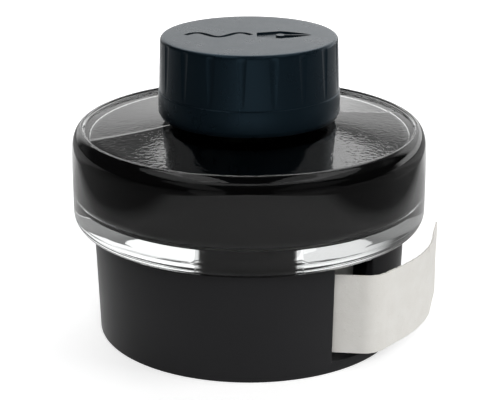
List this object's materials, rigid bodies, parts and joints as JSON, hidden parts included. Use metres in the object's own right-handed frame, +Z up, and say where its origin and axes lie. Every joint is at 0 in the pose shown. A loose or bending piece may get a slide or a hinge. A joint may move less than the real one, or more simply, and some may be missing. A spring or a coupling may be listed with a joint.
{
  "type": "inkwell",
  "caption": "Round glass ink bottle with a ribbed screw cap, on a black base that holds a roll of blotting paper with its free end out of a slot.",
  "frame": {"origin": "middle of the base's flat underside, on the bottle's axis", "axes": "+Z up along the bottle's axis; -Y is the front; the paper leaves through the slot on the +X, -Y side and is pulled towards +X"},
  "size_m": [0.076, 0.072, 0.0614],
  "materials": {
    "base_plastic": "fine-textured matt moulding",
    "blotting_paper": "soft unglazed blotting paper",
    "clear_glass": "polished pressed glass",
    "ink": "still liquid",
    "cap_plastic": "fine-grained satin moulding",
    "liner": "foamed sealing disc"
  },
  "bodies": {
    "base": {"base_tray": "base_plastic"},
    "bottle": {"glass_bottle": "clear_glass", "ink": "ink"},
    "liner": {"cap_liner": "liner"},
    "cap": {"cap_shell": "cap_plastic"},
    "roll": {"blotting_roll": "blotting_paper"},
    "leader": {"paper_leader": "blotting_paper"}
  },
  "joints": [
    {"name": "bottle_lift", "type": "slide", "parent": "base", "child": "bottle", "axis": [0, 0, 1], "range_m": [0, 0.024]},
    {"name": "cap_lift", "type": "slide", "parent": "bottle", "child": "liner", "axis": [0, 0, 1], "range_m": [0, 0.01365]},
    {"name": "cap_turn", "type": "hinge", "parent": "liner", "child": "cap", "pos_m": [0, 0, 0.05], "axis": [0, 0, 1], "range_deg": [0, 1171]},
    {"name": "paper_pull", "type": "slide", "parent": "base", "child": "leader", "axis": [0.993, -0.1184, 0], "range_m": [0, 0.015]},
    {"name": "roll_spin", "type": "hinge", "parent": "base", "child": "roll", "pos_m": [0, 0, 0.01], "axis": [0, 0, 1], "range_deg": [0, 38.58]}
  ],
  "couplings": [
    {"joint": "cap_turn", "follows": "cap_lift", "rad_per_m": 1496},
    {"joint": "roll_spin", "follows": "paper_pull", "rad_per_m": 44.893}
  ]
}
